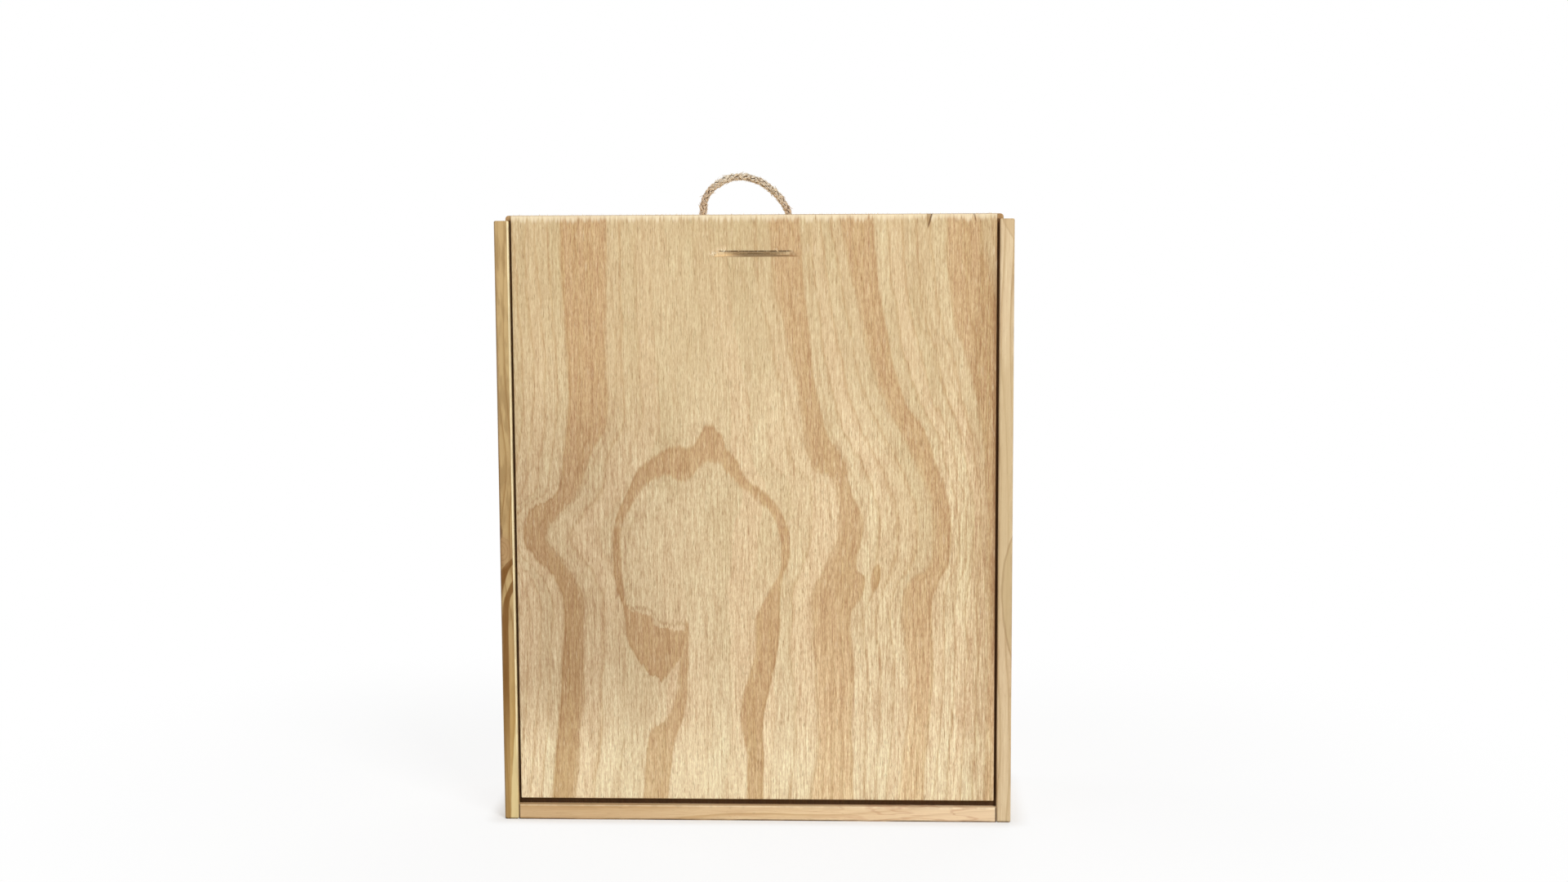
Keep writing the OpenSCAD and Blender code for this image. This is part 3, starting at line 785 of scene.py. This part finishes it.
def torn_wood():
    """Loose fibres of the lid's veneer, paler than its face."""
    finish = Finish("torn_wood_finish")
    point = finish.millimetres()
    tint = point.noise(2.5, 54, 2)
    grain = point.noise((0.3, 0.3, 2), 55, 2)
    colour = finish.blend((232, 206, 162), (252, 240, 212), tint.ease(0.4, 0.6))
    colour = finish.shaded(colour, 1 + (grain - 0.5) * 0.3)
    return finish.close(colour, 0.8 + grain * 0.1, grain, 0.05, 0.4, 0.2)


def nail_steel():
    """Bright wire, dulled, with hammer marks and a first bloom of rust."""
    finish = Finish("nail_steel_finish")
    point = finish.millimetres()
    dull = point.noise(0.9, 51, 3, 0.6)
    dents = point.noise(0.7, 52, 1)
    rust = point.noise(2.2, 53, 3).ease(0.56, 0.68)
    colour = finish.blend((176, 174, 168), (138, 136, 130), dull)
    colour = finish.blend(colour, (122, 84, 54), rust * 0.45)
    finish.feed(finish.shader.inputs["Metallic"], 1 - rust * 0.6)
    return finish.close(colour, 0.34 + dull * 0.2 + rust * 0.25, dents * 0.8 + dull * 0.2, 0.1, 0.6, 0.5)


# ---------------- dressing the frame's own pieces
def dress(nodes, material):
    for name in nodes:
        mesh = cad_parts[name].data
        mesh.materials.clear()
        mesh.materials.append(material)


# Each board: the way of its grain, its pith, its ring width, its early and late wood, a seed,
# its own marks and its knot.
BOARDS = (
    ("left_side", "z", (-205, -30), 4.2, (188, 157, 107), (148, 110, 58), 1, left_side_marks,
     (SIDE_KNOT_Y, SIDE_KNOT_Z)),
    ("right_side", "z", (240, 10), 4.6, (216, 191, 152), (190, 160, 118), 2, right_side_marks),
    ("bottom_board", "x", (-60, 5), 4.4, (228, 198, 155), (200, 162, 114), 3, bottom_marks),
    ("top_board", "x", (300, -8), 3.9, (224, 194, 150), (192, 152, 102), 4))
# Each sheet: the axis that it lies along, how deep a place lies in it, a seed, its tints, and
# whether pins go through it.
DIVIDER_TINTS = (218, 188, 144), (190, 152, 106)
SHEETS = (
    ("back_panel", 0, lambda x, y: BACK - y, 60, ((220, 192, 150), (200, 165, 118)), True),
    ("left_divider", 1, lambda x, y: x - LEFT_DIVIDER, 70, DIVIDER_TINTS),
    ("right_divider", 1, lambda x, y: x - RIGHT_DIVIDER, 80, DIVIDER_TINTS))
for board in BOARDS:
    dress(board[:1], pine(*board))
for sheet in SHEETS:
    dress(sheet[:1], sheet_plywood(*sheet))
dress(["sliding_lid"], lid_plywood())
dress(["corner_nails_left", "corner_nails_right", "back_panel_pins"], nail_steel())


# ---------------- rope
# The loop from hole to hole, as it stands: how far across from its left hole, and how far up.
LOOP_MM = [(0, 0), (0, 4.5), (0.8, 9), (2.2, 12.3), (4.2, 15), (6.5, 17.2), (9.5, 19.4), (13.5, 21.5),
    (18, 22.9), (22.6, 23.3), (27.5, 22.9), (32, 21.6), (36.2, 19.5), (40, 17), (43.5, 13.9), (46.6, 10.4),
    (49, 6.9), (51, 3.6), (52, 0)]
IN_HOLE = 355
ROUTE_STEP = 0.6
FINE_STEPS = 12


def smooth_route(points):
    """A smooth line through the points, as points that lie evenly along it."""
    fine = []
    padded = [points[0] * 2 - points[1], *points, points[-1] * 2 - points[-2]]
    for a, b, c, d in zip(padded, padded[1:], padded[2:], padded[3:]):
        for k in range(FINE_STEPS):
            t = k / FINE_STEPS
            fine.append(0.5 * (2 * b + (c - a) * t + (2 * a - 5 * b + 4 * c - d) * t * t
                               + (3 * b - a - 3 * c + d) * t ** 3))
    fine.append(points[-1].copy())
    along = [0]
    for one, next_one in zip(fine, fine[1:]):
        along.append(along[-1] + (next_one - one).length)
    count = round(along[-1] / ROUTE_STEP)
    route, k = [], 0
    for i in range(count + 1):
        wanted = along[-1] * i / count
        while k < len(fine) - 2 and along[k + 1] < wanted:
            k += 1
        share = (wanted - along[k]) / max(along[k + 1] - along[k], 1e-9)
        route.append(fine[k].lerp(fine[k + 1], share))
    return route


def frames_along(route):
    """For each point of the route, two directions square to it that turn slowly."""
    side = Vector((0, 1, 0))
    frames = []
    for i in range(len(route)):
        ahead = (route[min(i + 1, len(route) - 1)] - route[max(i - 1, 0)]).normalized()
        side = (side - ahead * side.dot(ahead)).normalized()
        frames.append((side, ahead.cross(side)))
    return frames


chance = random.Random(7)
YARN_RADIUS = 0.39
STRANDS = 8
YARNS_PER_STRAND = 3
# A strand goes once round in this length, that far from the rope's middle, give or take its rise.
STRAND_LAY = 20
STRAND_MIDDLE = 1.42
STRAND_RISE = 0.50
# Nothing that is seen lies nearer to the rope's middle.
DEEPEST = 1.2
FRAYED_FIBRES = 46


def lay_yarn(curve, points, radii):
    spline = curve.splines.new("POLY")
    spline.points.add(len(points) - 1)
    for target, place, radius in zip(spline.points, points, radii):
        target.co = (*(place * MM), 1)
        target.radius = radius


def mark_proud(mesh, route):
    """Keeps on each point how far it stands from the rope's middle: 0 is deep, 1 is outermost."""
    middle = KDTree(len(route))
    for i, place in enumerate(route):
        middle.insert(place, i)
    middle.balance()
    outermost = STRAND_MIDDLE + STRAND_RISE + YARN_RADIUS
    shares = [(middle.find(point.co / MM)[2] - DEEPEST) / (outermost - DEEPEST) for point in mesh.vertices]
    mesh.attributes.new(PROUD, "FLOAT", "POINT").data.foreach_set("value", shares)


def braided(name, route, fray_end, hairs, straws):
    """Eight strands of three yarns each, four one way round and four the other."""
    curve = bpy.data.curves.new(name + "_line", "CURVE")
    curve.dimensions = "3D"
    curve.bevel_depth = YARN_RADIUS * MM
    curve.bevel_resolution = 1
    curve.use_fill_caps = True
    spread = chance.uniform
    frames = frames_along(route)
    step = (route[1] - route[0]).length
    total = step * (len(route) - 1)
    for strand in range(STRANDS):
        way = 1 if strand % 2 else -1
        start = math.tau * (strand // 2) / 4
        slack = spread(0, math.tau)
        for yarn in range(YARNS_PER_STRAND):
            beside = (yarn - 1) * 0.40
            unrest = spread(0, math.tau)
            points, radii = [], []
            for i, middle in enumerate(route):
                s = i * step
                left = total - s
                flare = 1 + (0.55 * max(0, 1 - left / 5) ** 2 if fray_end else 0)
                rise = way * math.cos(math.tau * 4 * s / STRAND_LAY)
                out = STRAND_MIDDLE + STRAND_RISE * rise - abs(yarn - 1) * 0.08
                out = (out + 0.05 * math.sin(s * 1.9 + unrest) + 0.13 * math.sin(s * 0.41 + slack)) * flare
                angle = (start + way * (math.tau * s / STRAND_LAY) + beside
                         + 0.07 * math.sin(s * 0.8 + unrest) + 0.1 * math.sin(s * 0.33 + slack))
                a, b = frames[i]
                points.append(middle + a * (math.cos(angle) * out) + b * (math.sin(angle) * out))
                radii.append(1 + 0.14 * math.sin(s * 2.4 + unrest))
            if fray_end:
                keep = len(points) - chance.randint(0, 3)
                points, radii = points[:keep], radii[:keep]
            lay_yarn(curve, points, radii)
    lay_yarn(curve, route[1:-1], [2] * (len(route) - 2))

    def loose(foot, length, lift, thickness):
        """A fibre that leaves the rope's surface at a slant."""
        i = chance.randint(2, len(route) - 3)
        a, b = frames[i]
        turn = spread(0, math.tau)
        outward = a * math.cos(turn) + b * math.sin(turn)
        around = b * math.cos(turn) - a * math.sin(turn)
        ahead = ((route[i + 1] - route[i]).normalized() * chance.choice((-1, 1))
                 + around * spread(-0.7, 0.7)).normalized()
        start = route[i] + outward * foot
        bend = start + outward * lift * 0.4 + ahead * length * 0.6
        tip = bend + outward * lift * 0.6 + ahead * length * 0.4
        lay_yarn(curve, [start, bend, tip], [thickness, thickness * 0.8, thickness * 0.2])

    for _ in range(hairs):
        loose(1.8, spread(0.8, 2.4), spread(0.5, 1.6), 0.2)
    for _ in range(straws):
        loose(1.95, spread(2, 4.4), spread(0.3, 1.4), spread(0.4, 0.75))
    if fray_end:
        ahead = (route[-1] - route[-2]).normalized()
        a, b = frames[-1]
        for _ in range(FRAYED_FIBRES):
            turn, out = spread(0, math.tau), spread(0.3, 2.9)
            outward = a * math.cos(turn) + b * math.sin(turn)
            start = route[-1] - ahead * 1.5 + outward * out * 0.8
            tip = route[-1] + ahead * spread(0.4, 2.4) + outward * out * 1.15
            lay_yarn(curve, [start, start.lerp(tip, 0.5) + outward * 0.1, tip], [0.3, 0.22, 0.06])
    holder = bpy.data.objects.new(name + "_holder", curve)
    mesh = bpy.data.meshes.new_from_object(holder)
    bpy.data.objects.remove(holder)
    bpy.data.curves.remove(curve)
    mesh.name = name
    mesh.polygons.foreach_set("use_smooth", [True] * len(mesh.polygons))
    mark_proud(mesh, route)
    return placed(name, mesh)


loop_points = [Vector((ROPE_LEFT, 0, IN_HOLE))]
loop_points += [Vector((ROPE_LEFT + across, 0, HINGE_HEIGHT + up)) for across, up in LOOP_MM]
loop_points += [Vector((ROPE_RIGHT, 0, IN_HOLE))]
loop_route = smooth_route(loop_points)
rope = braided("braided_rope_loop", loop_route, fray_end=False, hairs=320, straws=170)

# The knot's middle line is a trefoil, opened where the rope comes in and goes out.
KNOT_RADIUS = ROPE_DIAMETER * 1.28
KNOT_LIFT = ROPE_DIAMETER * 0.62
KNOT_BEND = 4
KNOT_OPEN = 30
KNOT_TAIL = 9
KNOT_LENGTH = 118


def knot_route(hole, flip):
    """Down the hole, once round an overhand knot, and out to the free end."""
    def trefoil(degrees):
        a = math.radians(degrees)
        out = KNOT_RADIUS + KNOT_LIFT * math.cos(3 * a)
        return Vector((out * math.cos(2 * a), KNOT_LIFT * math.sin(3 * a), out * math.sin(2 * a)))

    opened = math.radians(2 * KNOT_OPEN)
    entry = Vector((KNOT_RADIUS * math.cos(opened), KNOT_LIFT, KNOT_RADIUS * math.sin(opened)))
    lobe = (KNOT_RADIUS + KNOT_LIFT) * math.sin(math.radians(120)) + 1.2
    middle = TOP_BOARD_UNDER - 0.3 - lobe - ROPE_DIAMETER / 2
    far = entry.x + KNOT_BEND + 1
    bend = Vector((far - KNOT_BEND, KNOT_LIFT, entry.z + KNOT_BEND))
    bend_in = [bend + Vector((math.cos(a), 0, -math.sin(a))) * KNOT_BEND
               for a in map(math.radians, (0, 30, 60))]
    bend_out = [Vector((p.x, -p.y, -p.z)) for p in reversed(bend_in)]
    points = [Vector((far, KNOT_LIFT, IN_HOLE + 1 - middle)),
              Vector((far, KNOT_LIFT, TOP_BOARD_UNDER - middle)),
              *bend_in, *[trefoil(a) for a in range(KNOT_OPEN, 361 - KNOT_OPEN, 10)], *bend_out,
              Vector((far, -KNOT_LIFT, -bend.z - KNOT_TAIL / 2)),
              Vector((far, -KNOT_LIFT, -bend.z - KNOT_TAIL + 1.5))]
    return [Vector((hole + flip * (p.x - far), flip * (p.y - KNOT_LIFT), p.z + middle)) for p in points]


rope_knots = []
for name, hole, flip, cad_node in (("braided_knot_left", ROPE_LEFT, -1, "rope_end_left"),
                                   ("braided_knot_right", ROPE_RIGHT, 1, "rope_end_right")):
    knot = braided(name, smooth_route(knot_route(hole, flip)), fray_end=True, hairs=120, straws=60)
    rope_knots.append((knot, cad_node))

loop_length = sum((b - a).length for a, b in zip(loop_route, loop_route[1:]))
rope.data.materials.append(cotton_rope("loop_rope_finish", loop_length))
knot_finish = cotton_rope("knot_rope_finish", KNOT_LENGTH)
for knot, cad_node in rope_knots:
    knot.data.materials.append(knot_finish)
    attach(knot, "root")
    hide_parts(cad_node)

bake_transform(rope)
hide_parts("rope_loop")
[p * MM for p in loop_route]


# ---------------- the lid's torn fibres
def sliver(mesh, foot, tip, width, thickness, turn):
    """A thin pointed shaving of wood from foot to tip."""
    length = (tip - foot).length
    ahead = (tip - foot).normalized()
    upright = ahead.to_track_quat("Z", "Y").to_matrix().to_4x4()
    shape = (Matrix.Translation((foot + tip) / 2 * MM) @ upright @ Matrix.Rotation(turn, 4, "Z")
             @ Matrix.Diagonal((1, thickness / width, 1, 1)))
    bmesh.ops.create_cone(mesh, cap_ends=True, segments=5, radius1=width * MM / 2,
                          radius2=width * MM * 0.06, depth=length * MM, matrix=shape)


# How many there are on the sawn edge, at the notch's left end, over it and along its upper lip.
FUZZ, CHIPS, SPLINTERS, BURRS = 420, 26, 7, 30


def torn_fibres():
    """Fuzz along the lid's sawn upper edge, and the chips beside its finger notch."""
    mesh = bmesh.new()
    chance = random.Random(11)
    spread = chance.uniform
    for _ in range(FUZZ):
        x = spread(-LID_FACE_HALF + 0.8, LID_FACE_HALF - 0.8)
        y = FRONT + chance.choice((spread(0.5, 1.3), spread(0.5, 8)))
        size = chance.random() ** 2
        foot = Vector((x, y, LID_TOP - 0.45))
        lean = Vector((spread(-0.35, 0.35), spread(-0.25, 0.12), 1))
        tip = foot + lean * (0.65 + 0.8 * size)
        sliver(mesh, foot, tip, spread(0.18, 0.6), 0.16, spread(-0.4, 0.4))
    for _ in range(CHIPS):
        share = chance.random()
        foot = Vector((-25.5 + 9.5 * share, FRONT + 0.12, NOTCH_HEIGHT - 0.6 + 3 * share + spread(-1, 0.4)))
        tip = foot + Vector((spread(-0.8, 0.8), -0.22, spread(1, 2.6)))
        sliver(mesh, foot, tip, spread(0.3, 0.8), 0.2, spread(-0.3, 0.3))
    for _ in range(SPLINTERS):
        foot = Vector((14.5 + spread(-0.6, 0.6), FRONT + 0.1, NOTCH_HEIGHT + 1.5 + spread(-0.3, 0.3)))
        tip = foot + Vector((-2.6 + spread(-0.6, 0.9), -0.3, 3.9 + spread(-1.2, 0.8)))
        sliver(mesh, foot, tip, spread(0.35, 0.7), 0.2, spread(-0.3, 0.3))
    for _ in range(BURRS):
        x = spread(-17, 20)
        foot = Vector((x, FRONT + 0.35, NOTCH_HEIGHT + 1.9))
        tip = foot + Vector((spread(-0.3, 0.3), spread(-0.1, 0.3), -spread(0.35, 0.9)))
        sliver(mesh, foot, tip, spread(0.15, 0.35), 0.14, 0)
    bmesh.ops.recalc_face_normals(mesh, faces=mesh.faces)
    piece = placed_mesh("lid_torn_fibres", mesh)
    piece.data.materials.append(torn_wood())
    return piece


fibres = torn_fibres()
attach(fibres, "lid")


# ---------------- floor, light and camera
def seen_ray(finish):
    """1 where the camera looks, also by way of gloss and glass, and 0 for the light itself."""
    path = finish.add("ShaderNodeLightPath", output="Is Camera Ray")
    return most(path, path.also("Is Glossy Ray"), path.also("Is Transmission Ray"))


def floor_finish():
    """White paper: it takes the box's shadow near by and is plain white further off."""
    finish = Finish("floor_paper")
    finish.shader.inputs["Base Color"].default_value = (0.86, 0.86, 0.86, 1)
    finish.shader.inputs["Roughness"].default_value = 0.9
    finish.shader.inputs["Specular IOR Level"].default_value = 0
    x, y, _ = finish.parts(finish.millimetres())
    beside = [(abs(part) - half).reckon("MAXIMUM", 0) for part, half in ((x, HALF_WIDTH), (y, BACK))]
    away = reach(*beside)
    share = (0.84 - away.ease(14, 0) * 0.5 + away.ease(60, 420) * 0.16)
    glow = finish.add("ShaderNodeEmission", inputs={"Color": (1, 1, 1, 1), "Strength": 1})
    paper = Wire(finish, finish.shader.outputs[0])
    mixed = finish.add("ShaderNodeMixShader", inputs=(share * seen_ray(finish), paper, glow))
    finish.feed(finish.tree.nodes["Material Output"].inputs["Surface"], mixed)
    return finish.material


FLOOR_RADIUS_M = 40


def lay_floor():
    mesh = bmesh.new()
    bmesh.ops.create_circle(mesh, cap_ends=True, segments=96, radius=FLOOR_RADIUS_M)
    floor = placed_mesh("floor", mesh)
    floor.data.materials.append(floor_finish())


# Each lamp: its place, the height that it points at, its side and its watts.
LAMPS = {"key_lamp": ((1.2, -1.9, 1.75), 0.15, 0.9, 46),
         "fill_lamp": ((-1.9, -1.5, 1.2), 0.15, 1.4, 12),
         "left_lamp": ((-2.3, 0.5, 1.3), 0.2, 1.4, 20),
         "rear_lamp": ((0.6, 2, 1.7), 0.2, 1.6, 24)}
# The share of its seen brightness that the room lights the box with.
ROOM_LIGHT = 0.27


def light_the_room():
    """Soft lamps, and a room that looks white but gives less light than that."""
    world = bpy.data.worlds.new("pale_room")
    bpy.context.scene.world = world
    finish = Finish("pale_room", world)
    finish.shader.inputs["Color"].default_value = (1, 1, 1, 1)
    level = seen_ray(finish) * (1 - ROOM_LIGHT) + ROOM_LIGHT
    finish.feed(finish.shader.inputs["Strength"], level)
    for name, (place, aim, side, watts) in LAMPS.items():
        lamp = bpy.data.lights.new(name, "AREA")
        lamp.shape = "SQUARE"
        lamp.size = side
        lamp.energy = watts
        holder = placed(name, lamp)
        holder.location = place
        holder.rotation_euler = (Vector((0, 0, aim)) - Vector(place)).to_track_quat("-Z", "Y").to_euler()


CAMERA_PLACE = (0.0669, -1.2366, 0.3551)
CAMERA_TURNS = ((2.381, "Z"), (-6.023, "X"), (0.268, "Y"), (90, "X"))
LENS_MM = 46.37


def place_camera():
    lens = bpy.data.cameras.new("camera")
    lens.sensor_width = 36
    lens.lens = LENS_MM
    lens.clip_start = 0.05
    lens.clip_end = 200
    camera = placed("camera", lens)
    turn = Matrix.Identity(4)
    for degrees, axis in CAMERA_TURNS:
        turn = turn @ Matrix.Rotation(math.radians(degrees), 4, axis)
    camera.matrix_world = Matrix.Translation(CAMERA_PLACE) @ turn
    bpy.context.scene.camera = camera


lay_floor()
light_the_room()
place_camera()
bpy.context.scene.view_settings.view_transform = "Standard"
